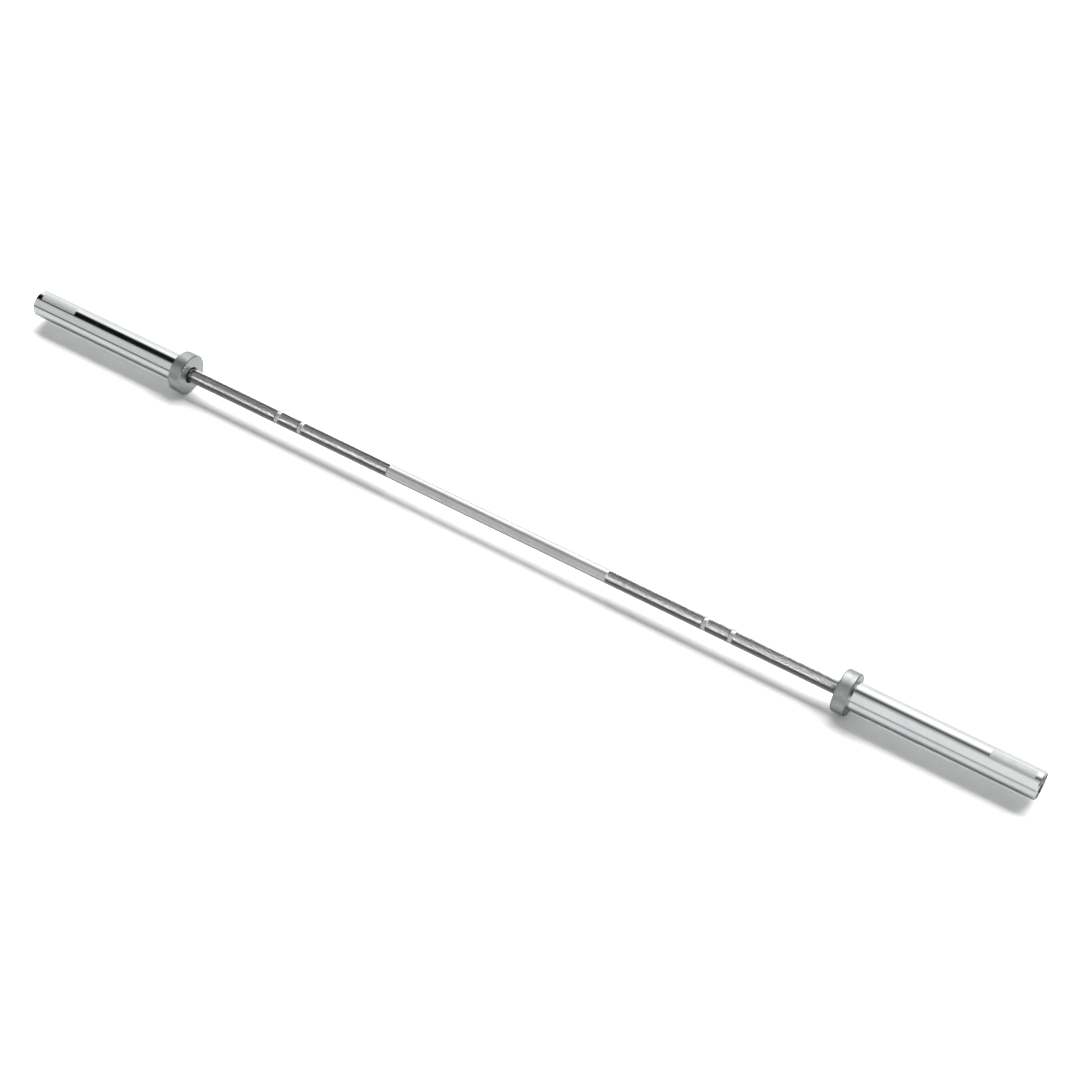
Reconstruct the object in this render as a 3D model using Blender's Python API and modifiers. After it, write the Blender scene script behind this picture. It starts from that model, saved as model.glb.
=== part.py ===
"""A 15 kg, 25 mm weightlifting bar with free-spinning sleeves.

The shaft runs the whole length and is turned down to a journal inside each sleeve.
Each sleeve turns on a flanged bronze bushing and two needle bearings, is kept on
by a circlip on the journal's end, and is closed by a cap behind a second circlip.
The bar lies along X, with the middle of the shaft at the origin.
"""
import math

import bmesh
import bpy
from mathutils import Matrix

MM = 0.001

# Overall sizes of the bar
BAR_LENGTH = 2010.0 * MM
COLLAR_SPACING = 1310.0 * MM
SHAFT_DIA = 25.0 * MM
SLEEVE_DIA = 50.0 * MM
COLLAR_DIA = 75.0 * MM
COLLAR_WIDTH = 25.0 * MM

# Grip: smooth middle, knurled bands and the plain rings that mark hand places
SMOOTH_MIDDLE = 442.0 * MM
RING_SPACINGS = (810.0 * MM, 910.0 * MM)
RING_WIDTH = 6.5 * MM
RING_DEPTH = 0.3 * MM
SMOOTH_RELIEF = 0.1 * MM
KNURL_STOP = 1.0 * MM

# Journal and the parts that it carries
SHOULDER_HEIGHT = 1.5 * MM
JOURNAL_CHAMFER = 1.5 * MM
SHOULDER_CHAMFER = 0.4 * MM
BEARING_SECTION = 4.9 * MM
BUSHING_LENGTH = 22.0 * MM
FLANGE_HEIGHT = 2.0 * MM
FLANGE_THICKNESS = 2.5 * MM
BEARING_LENGTH = 16.0 * MM
CUP_WALL = 2.0 * MM
CUP_LIP_THICKNESS = 1.2 * MM
CUP_LIP_HEIGHT = 1.5 * MM
NEEDLE_COUNT = 10
NEEDLE_PLAY = 0.4 * MM
CAGE_THICKNESS = 1.3 * MM
CAGE_END_RING = 1.5 * MM
WASHER_THICKNESS = 2.0 * MM
SHAFT_END_LENGTH = 3.0 * MM
SHAFT_END_CLEARANCE = 3.0 * MM

# Collar lip and the dust seal inside it
COLLAR_LIP = 5.0 * MM
COLLAR_CHAMFER = 2.0 * MM
BORE_CHAMFER = 0.5 * MM
SEAL_WALL = 2.3 * MM
SEAL_WIDTH = 3.8 * MM
SEAL_VEE = 1.0 * MM

# Sleeve bore and outer end
SEAT_STEP = 1.7 * MM
SLEEVE_CHAMFER = 2.0 * MM
RIM_WALL = 2.8 * MM
RIM_WIDTH = 1.8 * MM

# End cap with its O-ring
CAP_THICKNESS = 8.0 * MM
CAP_CHAMFER = 0.6 * MM
CAP_DISH_DEPTH = 0.8 * MM
CAP_DISH_MARGIN = 6.5 * MM
O_RING_SECTION = 1.5 * MM

# Circlips
SHAFT_CIRCLIP_THICKNESS = 1.5 * MM
SHAFT_GROOVE_DEPTH = 0.8 * MM
SHAFT_CIRCLIP_BACK = 2.9 * MM
SHAFT_CIRCLIP_TIP = 1.7 * MM
SHAFT_CIRCLIP_EAR = 2.1 * MM
CAP_CIRCLIP_THICKNESS = 1.2 * MM
CAP_GROOVE_DEPTH = 1.1 * MM
CAP_CIRCLIP_BACK = 3.1 * MM
CAP_CIRCLIP_TIP = 1.9 * MM
CAP_CIRCLIP_EAR = 2.4 * MM
CIRCLIP_HALF_GAP = math.radians(9.0)
EAR_HOLE_SHARE = 0.42

# Clearance left between separate pieces that seat on each other
CLEARANCE = 0.3 * MM

# Facets round a full turn
SHAFT_STEPS = 24
SLEEVE_STEPS = 36
COLLAR_STEPS = 40
INNER_STEPS = 24
CAGE_STEPS = 20
NEEDLE_SIDES = 8
O_RING_SIDES = 6
CIRCLIP_POINTS = 26
EAR_POINTS = 4
HOLE_POINTS = 8

# Radii worked out from the driving sizes
SHAFT_RADIUS = SHAFT_DIA / 2
SLEEVE_RADIUS = SLEEVE_DIA / 2
COLLAR_RADIUS = COLLAR_DIA / 2
JOURNAL_RADIUS = SHAFT_RADIUS - SHOULDER_HEIGHT
BEARING_OUTER_RADIUS = JOURNAL_RADIUS + CLEARANCE + BEARING_SECTION
SEAT_RADIUS = BEARING_OUTER_RADIUS + CLEARANCE
FLANGE_RADIUS = BEARING_OUTER_RADIUS + FLANGE_HEIGHT
RACEWAY_RADIUS = BEARING_OUTER_RADIUS - CUP_WALL
NEEDLE_RADIUS = (RACEWAY_RADIUS - JOURNAL_RADIUS) / 2 - NEEDLE_PLAY
NEEDLE_CIRCLE = (RACEWAY_RADIUS + JOURNAL_RADIUS) / 2
MIDDLE_BORE_RADIUS = SEAT_RADIUS - SEAT_STEP
SEAL_OUTER_RADIUS = SHAFT_RADIUS + CLEARANCE + SEAL_WALL
LIP_BORE_RADIUS = SEAL_OUTER_RADIUS + CLEARANCE
CAP_POCKET_RADIUS = SLEEVE_RADIUS - RIM_WALL
CAP_RADIUS = CAP_POCKET_RADIUS - CLEARANCE
SHAFT_GROOVE_RADIUS = JOURNAL_RADIUS - SHAFT_GROOVE_DEPTH
CAP_GROOVE_RADIUS = CAP_POCKET_RADIUS + CAP_GROOVE_DEPTH

# Distances from the middle of the bar, in order from the collar outwards
BAR_END = BAR_LENGTH / 2
COLLAR_FACE = COLLAR_SPACING / 2
SHAFT_SHOULDER = COLLAR_FACE + COLLAR_LIP
SLEEVE_START = SHAFT_SHOULDER + CLEARANCE
FLANGE_STEP = SLEEVE_START + FLANGE_THICKNESS + CLEARANCE
INNER_BEARING = SLEEVE_START + BUSHING_LENGTH + CLEARANCE
INNER_SEAT_END = INNER_BEARING + BEARING_LENGTH + CLEARANCE

# Distances from the middle of the bar, in order from the outer end inwards
CAP_GROOVE_END = BAR_END - RIM_WIDTH
CAP_CIRCLIP_PLACE = CAP_GROOVE_END - CLEARANCE - CAP_CIRCLIP_THICKNESS
CAP_GROOVE_START = CAP_CIRCLIP_PLACE - CLEARANCE
CAP_PLACE = CAP_GROOVE_START - CAP_THICKNESS
CAP_POCKET_STEP = CAP_PLACE - CLEARANCE
SHAFT_END = CAP_PLACE - SHAFT_END_CLEARANCE
SHAFT_GROOVE_END = SHAFT_END - SHAFT_END_LENGTH
SHAFT_CIRCLIP_PLACE = SHAFT_GROOVE_END - CLEARANCE - SHAFT_CIRCLIP_THICKNESS
SHAFT_GROOVE_START = SHAFT_CIRCLIP_PLACE - CLEARANCE
WASHER_PLACE = SHAFT_GROOVE_START - WASHER_THICKNESS
OUTER_BEARING = WASHER_PLACE - CLEARANCE - BEARING_LENGTH
OUTER_SEAT_START = OUTER_BEARING - CLEARANCE

# Finishes: colour, roughness, metallic
FINISHES = {
    "bright_chrome": ((0.78, 0.79, 0.80, 1.0), 0.08, 1.0),
    "satin_chrome": ((0.52, 0.53, 0.54, 1.0), 0.38, 1.0),
    "knurled_steel": ((0.55, 0.56, 0.57, 1.0), 0.22, 1.0),
    "ground_steel": ((0.62, 0.62, 0.63, 1.0), 0.25, 1.0),
    "bronze": ((0.62, 0.42, 0.22, 1.0), 0.35, 1.0),
    "spring_steel": ((0.50, 0.50, 0.51, 1.0), 0.35, 1.0),
    "black_rubber": ((0.02, 0.02, 0.02, 1.0), 0.80, 0.0),
}
SHARP_ANGLE = math.radians(30.0)
MERGE = 0.00001


def clear_scene():
    """Remove whatever objects the file holds."""
    for obj in list(bpy.data.objects):
        bpy.data.objects.remove(obj, do_unlink=True)


def new_collection(name):
    collection = bpy.data.collections.new(name)
    bpy.context.scene.collection.children.link(collection)
    return collection


def new_material(name):
    colour, roughness, metallic = FINISHES[name]
    material = bpy.data.materials.new(name)
    material.use_nodes = True
    shader = material.node_tree.nodes["Principled BSDF"]
    shader.inputs["Base Color"].default_value = colour
    shader.inputs["Roughness"].default_value = roughness
    shader.inputs["Metallic"].default_value = metallic
    material.diffuse_color = colour
    return material


def finish(obj, material):
    """Apply the object's modifiers, shade its round faces smooth and give it its material."""
    depsgraph = bpy.context.evaluated_depsgraph_get()
    mesh = bpy.data.meshes.new_from_object(obj.evaluated_get(depsgraph))
    obj.modifiers.clear()
    obj.data = mesh
    mesh.name = obj.name
    mesh.shade_smooth()
    mesh.set_sharp_from_angle(angle=SHARP_ANGLE)
    mesh.materials.clear()
    mesh.materials.append(material)
    return obj


def place(obj, parent, along, turn=0.0):
    """Hang the object on its parent, that far along the parent's Z and turned about it."""
    obj.parent = parent
    obj.location = (0.0, 0.0, along)
    obj.rotation_euler = (0.0, 0.0, turn)


def profile_object(name, profile, closed, collection):
    """A mesh of edges through the (radius, height) points of a turned profile."""
    mesh = bpy.data.meshes.new(name)
    points = [(radius, 0.0, height) for radius, height in profile]
    edges = [(i, i + 1) for i in range(len(points) - 1)]
    if closed:
        edges.append((len(points) - 1, 0))
    mesh.from_pydata(points, edges, [])
    obj = bpy.data.objects.new(name, mesh)
    collection.objects.link(obj)
    return obj


def turned(name, profile, steps, material, collection, closed=True, mirrored=False):
    """Turn a profile about Z; it runs down its outer side, and up its bore where it has one."""
    obj = profile_object(name, profile, closed, collection)
    screw = obj.modifiers.new("Turn", "SCREW")
    screw.axis = "Z"
    screw.angle = math.tau
    screw.steps = steps
    screw.render_steps = steps
    screw.use_merge_vertices = True
    screw.merge_threshold = MERGE
    if mirrored:
        mirror = obj.modifiers.new("Both ends", "MIRROR")
        mirror.use_axis = (False, False, True)
        mirror.merge_threshold = MERGE
    return finish(obj, material)


def ring_profile(inner, outer, length):
    """Closed profile of a plain ring."""
    return [(outer, length), (outer, 0.0), (inner, 0.0), (inner, length)]


def shaft_profile():
    """Half of the shaft, from the tip of one journal down to the middle of the bar."""
    smooth = SHAFT_RADIUS - SMOOTH_RELIEF
    plain_ring = SHAFT_RADIUS - RING_DEPTH
    points = [
        (0.0, SHAFT_END),
        (JOURNAL_RADIUS - JOURNAL_CHAMFER, SHAFT_END),
        (JOURNAL_RADIUS, SHAFT_END - JOURNAL_CHAMFER),
        (JOURNAL_RADIUS, SHAFT_GROOVE_END),
        (SHAFT_GROOVE_RADIUS, SHAFT_GROOVE_END),
        (SHAFT_GROOVE_RADIUS, SHAFT_GROOVE_START),
        (JOURNAL_RADIUS, SHAFT_GROOVE_START),
        (JOURNAL_RADIUS, SHAFT_SHOULDER),
        (smooth - SHOULDER_CHAMFER, SHAFT_SHOULDER),
        (smooth, SHAFT_SHOULDER - SHOULDER_CHAMFER),
        (smooth, COLLAR_FACE - KNURL_STOP),
        (SHAFT_RADIUS, COLLAR_FACE - KNURL_STOP),
    ]
    for spacing in sorted(RING_SPACINGS, reverse=True):
        inner_edge = spacing / 2
        outer_edge = inner_edge + RING_WIDTH
        points += [
            (SHAFT_RADIUS, outer_edge), (plain_ring, outer_edge),
            (plain_ring, inner_edge), (SHAFT_RADIUS, inner_edge),
        ]
    points += [
        (SHAFT_RADIUS, SMOOTH_MIDDLE / 2), (smooth, SMOOTH_MIDDLE / 2), (smooth, 0.0),
    ]
    return points


def collar_profile():
    """Collar: a pocket that the sleeve seats in, and a lip that holds the dust seal."""
    pocket = SLEEVE_RADIUS + CLEARANCE
    chamfer = COLLAR_CHAMFER
    return [
        (COLLAR_RADIUS - chamfer, COLLAR_WIDTH),
        (COLLAR_RADIUS, COLLAR_WIDTH - chamfer),
        (COLLAR_RADIUS, chamfer),
        (COLLAR_RADIUS - chamfer, 0.0),
        (LIP_BORE_RADIUS + BORE_CHAMFER, 0.0),
        (LIP_BORE_RADIUS, BORE_CHAMFER),
        (LIP_BORE_RADIUS, COLLAR_LIP),
        (pocket, COLLAR_LIP),
        (pocket, COLLAR_WIDTH - BORE_CHAMFER),
        (pocket + BORE_CHAMFER, COLLAR_WIDTH),
    ]


def sleeve_profile():
    """Sleeve: bearing seats at both ends of the bore, and a pocket and groove for the cap."""
    length = BAR_END - SLEEVE_START
    flange_pocket = FLANGE_RADIUS + CLEARANCE

    def at(place_along_bar):
        return place_along_bar - SLEEVE_START

    return [
        (SLEEVE_RADIUS - SLEEVE_CHAMFER, length),
        (SLEEVE_RADIUS, length - SLEEVE_CHAMFER),
        (SLEEVE_RADIUS, 0.0),
        (flange_pocket, 0.0),
        (flange_pocket, at(FLANGE_STEP)),
        (SEAT_RADIUS, at(FLANGE_STEP)),
        (SEAT_RADIUS, at(INNER_SEAT_END)),
        (MIDDLE_BORE_RADIUS, at(INNER_SEAT_END)),
        (MIDDLE_BORE_RADIUS, at(OUTER_SEAT_START)),
        (SEAT_RADIUS, at(OUTER_SEAT_START)),
        (SEAT_RADIUS, at(CAP_POCKET_STEP)),
        (CAP_POCKET_RADIUS, at(CAP_POCKET_STEP)),
        (CAP_POCKET_RADIUS, at(CAP_GROOVE_START)),
        (CAP_GROOVE_RADIUS, at(CAP_GROOVE_START)),
        (CAP_GROOVE_RADIUS, at(CAP_GROOVE_END)),
        (CAP_POCKET_RADIUS, at(CAP_GROOVE_END)),
        (CAP_POCKET_RADIUS, length),
    ]


def seal_profile():
    """Dust seal: a rubber ring whose bore is a vee, so two thin lips wipe the shaft."""
    inner = SEAL_OUTER_RADIUS - SEAL_WALL
    return [
        (SEAL_OUTER_RADIUS, SEAL_WIDTH), (SEAL_OUTER_RADIUS, 0.0), (inner, 0.0),
        (inner + SEAL_VEE, SEAL_WIDTH / 2), (inner, SEAL_WIDTH),
    ]


def bushing_profile():
    """Bronze bushing: its flange takes the push of the shaft's shoulder."""
    bore = JOURNAL_RADIUS + CLEARANCE
    return [
        (BEARING_OUTER_RADIUS, BUSHING_LENGTH), (BEARING_OUTER_RADIUS, FLANGE_THICKNESS),
        (FLANGE_RADIUS, FLANGE_THICKNESS), (FLANGE_RADIUS, 0.0),
        (bore, 0.0), (bore, BUSHING_LENGTH),
    ]


def cup_profile():
    """Drawn bearing cup: a thin shell curled inwards at both ends to keep the cage in."""
    lip = RACEWAY_RADIUS - CUP_LIP_HEIGHT
    inside = BEARING_LENGTH - CUP_LIP_THICKNESS
    return [
        (BEARING_OUTER_RADIUS, BEARING_LENGTH), (BEARING_OUTER_RADIUS, 0.0),
        (lip, 0.0), (lip, CUP_LIP_THICKNESS),
        (RACEWAY_RADIUS, CUP_LIP_THICKNESS), (RACEWAY_RADIUS, inside),
        (lip, inside), (lip, BEARING_LENGTH),
    ]


def cap_profile():
    """End cap: a disc with a shallow dish in its face and an O-ring groove round its edge."""
    groove_width = O_RING_SECTION + 2 * CLEARANCE
    groove_radius = CAP_RADIUS - O_RING_SECTION - CLEARANCE
    groove_top = (CAP_THICKNESS + groove_width) / 2
    groove_foot = (CAP_THICKNESS - groove_width) / 2
    dish = CAP_RADIUS - CAP_DISH_MARGIN
    return [
        (0.0, CAP_THICKNESS - CAP_DISH_DEPTH),
        (dish - CAP_DISH_DEPTH, CAP_THICKNESS - CAP_DISH_DEPTH),
        (dish, CAP_THICKNESS),
        (CAP_RADIUS - CAP_CHAMFER, CAP_THICKNESS),
        (CAP_RADIUS, CAP_THICKNESS - CAP_CHAMFER),
        (CAP_RADIUS, groove_top), (groove_radius, groove_top),
        (groove_radius, groove_foot), (CAP_RADIUS, groove_foot),
        (CAP_RADIUS, CAP_CHAMFER), (CAP_RADIUS - CAP_CHAMFER, 0.0), (0.0, 0.0),
    ]


def o_ring_profile():
    """Circle of the O-ring's section, run clockwise so that its outer side goes down."""
    section = O_RING_SECTION / 2
    centre = CAP_RADIUS - section
    turns = [-math.tau * i / O_RING_SIDES for i in range(O_RING_SIDES)]
    return [(centre + section * math.cos(a), section * math.sin(a)) for a in turns]


def circlip_width(angle, back, tip, ear, ear_angle, plain_radius, way):
    """Radial width of a circlip at an angle from its gap.

    The width grows smoothly from the tips to the back. Near each tip a round ear, which
    stands on the plain edge, is wider than that, and the wider of the two is used.
    """
    width = tip + (back - tip) * (1 - math.cos(angle)) / 2
    ear_circle = plain_radius + way * ear
    off = min(abs(angle - ear_angle), abs(math.tau - angle - ear_angle))
    half_chord = ear ** 2 - (ear_circle * math.sin(off)) ** 2
    if off < math.pi / 2 and half_chord > 0:
        far_side = ear_circle * math.cos(off) + way * math.sqrt(half_chord)
        width = max(width, way * (far_side - plain_radius))
    return width


def circlip(name, plain_radius, way, back, tip, ear, thickness, material, collection):
    """A flat open spring ring with an eared hole at each tip, for pliers.

    way is 1 for a ring in a shaft's groove, whose bore is round, and -1 for a ring in a
    sleeve's groove, whose outer edge is round.
    """
    ear_circle = plain_radius + way * ear
    ear_angle = CIRCLIP_HALF_GAP + math.asin(ear / ear_circle)
    ear_end = ear_angle + math.asin(ear / ear_circle)
    ears = [CIRCLIP_HALF_GAP + (ear_end - CIRCLIP_HALF_GAP) * i / EAR_POINTS
            for i in range(EAR_POINTS)]
    body_step = (math.tau - 2 * ear_end) / CIRCLIP_POINTS
    body = [ear_end + body_step * i for i in range(CIRCLIP_POINTS + 1)]
    angles = ears + body + [math.tau - angle for angle in reversed(ears)]
    shaped = []
    for angle in angles:
        width = circlip_width(angle, back, tip, ear, ear_angle, plain_radius, way)
        shaped.append((plain_radius + way * width, angle))
    plain = [(plain_radius, angle) for angle in reversed(angles)]
    curve = bpy.data.curves.new(name, "CURVE")
    curve.dimensions = "2D"
    curve.fill_mode = "BOTH"
    curve.extrude = thickness / 2
    add_outline(curve, [(r * math.cos(a), r * math.sin(a)) for r, a in shaped + plain])
    for side in (1, -1):
        centre = (ear_circle * math.cos(ear_angle), side * ear_circle * math.sin(ear_angle))
        add_outline(curve, circle_points(centre, ear * EAR_HOLE_SHARE, HOLE_POINTS))
    obj = bpy.data.objects.new(name, curve)
    collection.objects.link(obj)
    return mesh_from_curve(obj, material, collection)


def circle_points(centre, radius, count):
    turns = [math.tau * i / count for i in range(count)]
    return [(centre[0] + radius * math.cos(a), centre[1] + radius * math.sin(a)) for a in turns]


def add_outline(curve, points):
    """Add a closed straight-sided outline to a flat curve."""
    spline = curve.splines.new("POLY")
    spline.points.add(len(points) - 1)
    for point, (x, y) in zip(spline.points, points):
        point.co = (x, y, 0.0, 1.0)
    spline.use_cyclic_u = True


def mesh_from_curve(obj, material, collection):
    """Replace a curve object by its mesh, with the loose caps welded to the sides."""
    depsgraph = bpy.context.evaluated_depsgraph_get()
    mesh = bpy.data.meshes.new_from_object(obj.evaluated_get(depsgraph))
    name = obj.name
    bpy.data.objects.remove(obj, do_unlink=True)
    cage = bmesh.new()
    cage.from_mesh(mesh)
    bmesh.ops.remove_doubles(cage, verts=cage.verts, dist=MERGE)
    bmesh.ops.recalc_face_normals(cage, faces=cage.faces)
    cage.to_mesh(mesh)
    cage.free()
    solid = bpy.data.objects.new(name, mesh)
    collection.objects.link(solid)
    return finish(solid, material)


def needle_mesh():
    """All the needles of one bearing, standing in a circle, as closed cylinders."""
    length = cage_length() - 2 * CAGE_END_RING
    ring = bmesh.new()
    for i in range(NEEDLE_COUNT):
        angle = math.tau * i / NEEDLE_COUNT
        made = bmesh.ops.create_cone(
            ring, cap_ends=True, segments=NEEDLE_SIDES,
            radius1=NEEDLE_RADIUS, radius2=NEEDLE_RADIUS, depth=length)
        bmesh.ops.rotate(ring, verts=made["verts"], matrix=Matrix.Rotation(angle, 3, "Z"))
        move = (NEEDLE_CIRCLE * math.cos(angle), NEEDLE_CIRCLE * math.sin(angle),
                cage_length() / 2)
        bmesh.ops.translate(ring, verts=made["verts"], vec=move)
    mesh = bpy.data.meshes.new("needles")
    ring.to_mesh(mesh)
    ring.free()
    return mesh


def cage_length():
    return BEARING_LENGTH - 2 * CUP_LIP_THICKNESS - 2 * CLEARANCE


def needle_cage(name, material, parts, cutters):
    """Cage ring of a needle bearing, joined with the needles that stand out of both its sides."""
    inner = NEEDLE_CIRCLE - CAGE_THICKNESS / 2
    outer = NEEDLE_CIRCLE + CAGE_THICKNESS / 2
    cage = turned(name, ring_profile(inner, outer, cage_length()), CAGE_STEPS, material, parts)
    needles = bpy.data.objects.new(name + "_needles", needle_mesh())
    needles.hide_render = True
    needles.display_type = "WIRE"
    cutters.objects.link(needles)
    join = cage.modifiers.new("Needles", "BOOLEAN")
    join.operation = "UNION"
    join.solver = "EXACT"
    join.object = needles
    finish(cage, material)
    bpy.data.objects.remove(needles, do_unlink=True)
    return cage


def build_shaft(axis, materials, parts):
    shaft = turned("shaft", shaft_profile(), SHAFT_STEPS, materials["knurled_steel"], parts,
                   closed=False, mirrored=True)
    place(shaft, axis, 0.0)


def build_turned_pieces(side, axis, materials, parts):
    """The turned pieces of one side: name, profile, facets, finish and place along the bar."""
    washer = ring_profile(JOURNAL_RADIUS + CLEARANCE, BEARING_OUTER_RADIUS, WASHER_THICKNESS)
    seal_place = COLLAR_FACE + (COLLAR_LIP - SEAL_WIDTH) / 2
    o_ring_place = CAP_PLACE + CAP_THICKNESS / 2
    pieces = [
        ("sleeve", sleeve_profile(), SLEEVE_STEPS, "bright_chrome", SLEEVE_START),
        ("collar", collar_profile(), COLLAR_STEPS, "satin_chrome", COLLAR_FACE),
        ("dust_seal", seal_profile(), INNER_STEPS, "black_rubber", seal_place),
        ("bushing", bushing_profile(), INNER_STEPS, "bronze", SLEEVE_START),
        ("inner_bearing_cup", cup_profile(), INNER_STEPS, "ground_steel", INNER_BEARING),
        ("outer_bearing_cup", cup_profile(), INNER_STEPS, "ground_steel", OUTER_BEARING),
        ("thrust_washer", washer, INNER_STEPS, "bronze", WASHER_PLACE),
        ("end_cap_o_ring", o_ring_profile(), INNER_STEPS, "black_rubber", o_ring_place),
    ]
    for name, profile, steps, finish_name, along in pieces:
        piece = turned(side + "_" + name, profile, steps, materials[finish_name], parts)
        # Half a facet of turn puts a flat, not a corner, underneath the bar
        place(piece, axis, along, turn=math.pi / steps)


def build_end_cap(side, axis, materials, parts):
    cap = turned(side + "_end_cap", cap_profile(), SLEEVE_STEPS, materials["bright_chrome"],
                 parts, closed=False)
    place(cap, axis, CAP_PLACE, turn=math.pi / SLEEVE_STEPS)


def build_needle_cages(side, axis, materials, parts, cutters):
    inset = CUP_LIP_THICKNESS + CLEARANCE
    for name, bearing in (("inner", INNER_BEARING), ("outer", OUTER_BEARING)):
        cage = needle_cage(side + "_" + name + "_needle_cage", materials["ground_steel"],
                           parts, cutters)
        place(cage, axis, bearing + inset)


def build_circlips(side, axis, materials, parts):
    on_shaft = circlip(side + "_shaft_circlip", SHAFT_GROOVE_RADIUS + CLEARANCE, 1,
                       SHAFT_CIRCLIP_BACK, SHAFT_CIRCLIP_TIP, SHAFT_CIRCLIP_EAR,
                       SHAFT_CIRCLIP_THICKNESS, materials["spring_steel"], parts)
    place(on_shaft, axis, SHAFT_CIRCLIP_PLACE + SHAFT_CIRCLIP_THICKNESS / 2)
    in_sleeve = circlip(side + "_end_cap_circlip", CAP_GROOVE_RADIUS - CLEARANCE, -1,
                        CAP_CIRCLIP_BACK, CAP_CIRCLIP_TIP, CAP_CIRCLIP_EAR,
                        CAP_CIRCLIP_THICKNESS, materials["spring_steel"], parts)
    place(in_sleeve, axis, CAP_CIRCLIP_PLACE + CAP_CIRCLIP_THICKNESS / 2)


def build_axis(name, direction, parts):
    """An empty on the bar's axis whose Z points outwards along the bar."""
    axis = bpy.data.objects.new(name, None)
    axis.rotation_euler = (0.0, direction * math.pi / 2, 0.0)
    parts.objects.link(axis)
    return axis


def main():
    clear_scene()
    parts = new_collection("barbell")
    cutters = new_collection("cutters")
    materials = {name: new_material(name) for name in FINISHES}
    build_shaft(build_axis("bar_axis", 1, parts), materials, parts)
    for side, direction in (("left", -1), ("right", 1)):
        axis = build_axis(side + "_sleeve_axis", direction, parts)
        build_turned_pieces(side, axis, materials, parts)
        build_end_cap(side, axis, materials, parts)
        build_needle_cages(side, axis, materials, parts, cutters)
        build_circlips(side, axis, materials, parts)
    bpy.context.view_layer.update()


main()
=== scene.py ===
"""The looks of a 15 kg, 25 mm weightlifting bar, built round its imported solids.

The bar lies along X on its two collars. Turned pieces are profiles carried round the bar's
axis, and the knurl is cut as real diamonds into three bands of the shaft on each side.
"""

import math

import bpy
import numpy as np
from mathutils import Matrix, Vector


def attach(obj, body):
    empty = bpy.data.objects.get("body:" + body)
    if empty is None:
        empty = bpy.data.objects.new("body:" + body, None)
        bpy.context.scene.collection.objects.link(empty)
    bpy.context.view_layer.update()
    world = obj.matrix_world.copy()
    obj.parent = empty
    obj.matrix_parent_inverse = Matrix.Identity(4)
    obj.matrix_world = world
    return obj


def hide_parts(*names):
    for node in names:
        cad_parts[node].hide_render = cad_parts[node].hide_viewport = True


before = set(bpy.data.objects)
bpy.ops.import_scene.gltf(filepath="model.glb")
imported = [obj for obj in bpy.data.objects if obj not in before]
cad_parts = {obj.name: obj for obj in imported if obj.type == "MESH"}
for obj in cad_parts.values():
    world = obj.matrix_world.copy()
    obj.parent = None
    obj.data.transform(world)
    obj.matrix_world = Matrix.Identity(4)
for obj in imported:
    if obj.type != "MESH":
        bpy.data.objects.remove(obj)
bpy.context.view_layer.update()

MM = 0.001
SIDES = {"left": -1, "right": 1}

# Shaft, in mm from the middle of the bar
KNURL_RADIUS = 12.5
SMOOTH_RADIUS = 12.4
PLAIN_RING_RADIUS = 12.2
JOURNAL_RADIUS = 11.0
KNURL_START = 221.0
RING_PLACES = ((405.0, 411.5), (455.0, 461.5))
KNURL_STOP = 654.0
SHOULDER = 660.0
SHAFT_GROOVE = (985.3, 987.4)
SHAFT_END = 990.4

# Knurl: grooves each way round, their angle to the axis, their depth and the tips' rise
KNURL_STARTS = 54
KNURL_ANGLE = math.radians(30.0)
KNURL_DEPTH = 0.42
TIP_RISE = 0.12
KNURL_FADE = 0.9
BAND_CHAMFER = 0.15
STEPS_A_PITCH = 4

# Sleeve and its label, in mm from the middle of the bar
SLEEVE_RADIUS = 25.0
LABEL_PLACE = (916.0, 993.0)
LABEL_ARC = math.radians(35.0)
LABEL_TURN = math.radians(5.0)
LABEL_THICKNESS = 0.12
LABEL_CORNER = 1.6

# The collars' radius, and the gap that is left between them and the floor
COLLAR_RADIUS = 37.5
FLOOR_DROP = 0.05

# Facets round a full turn, outside and inside the sleeves
FINE_SECTORS = 192
INNER_SECTORS = 96

# Rounded corners of a profile, and the points near the ends of its long straights
ROUNDING_STEPS = 4
STRAIGHT_MARGIN = 0.35
SHARP_ANGLE = math.radians(30.0)


def surface(name, points, faces, smooth=True):
    """A mesh from an array of points in millimetres and arrays of triangles or quads."""
    mesh = bpy.data.meshes.new(name)
    loops = np.concatenate([part.ravel() for part in faces]).astype(np.int32)
    sizes = np.concatenate([np.full(len(part), part.shape[1]) for part in faces])
    starts = np.concatenate([[0], np.cumsum(sizes)[:-1]]).astype(np.int32)
    mesh.vertices.add(len(points))
    mesh.vertices.foreach_set("co", (points * MM).astype(np.float32).ravel())
    mesh.loops.add(len(loops))
    mesh.loops.foreach_set("vertex_index", loops)
    mesh.polygons.add(len(sizes))
    mesh.polygons.foreach_set("loop_start", starts)
    mesh.update(calc_edges=True)
    mesh.validate()
    if smooth:
        mesh.shade_smooth()
        mesh.set_sharp_from_angle(angle=SHARP_ANGLE)
    else:
        mesh.shade_flat()
    obj = bpy.data.objects.new(name, mesh)
    bpy.context.scene.collection.objects.link(obj)
    return obj


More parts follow.
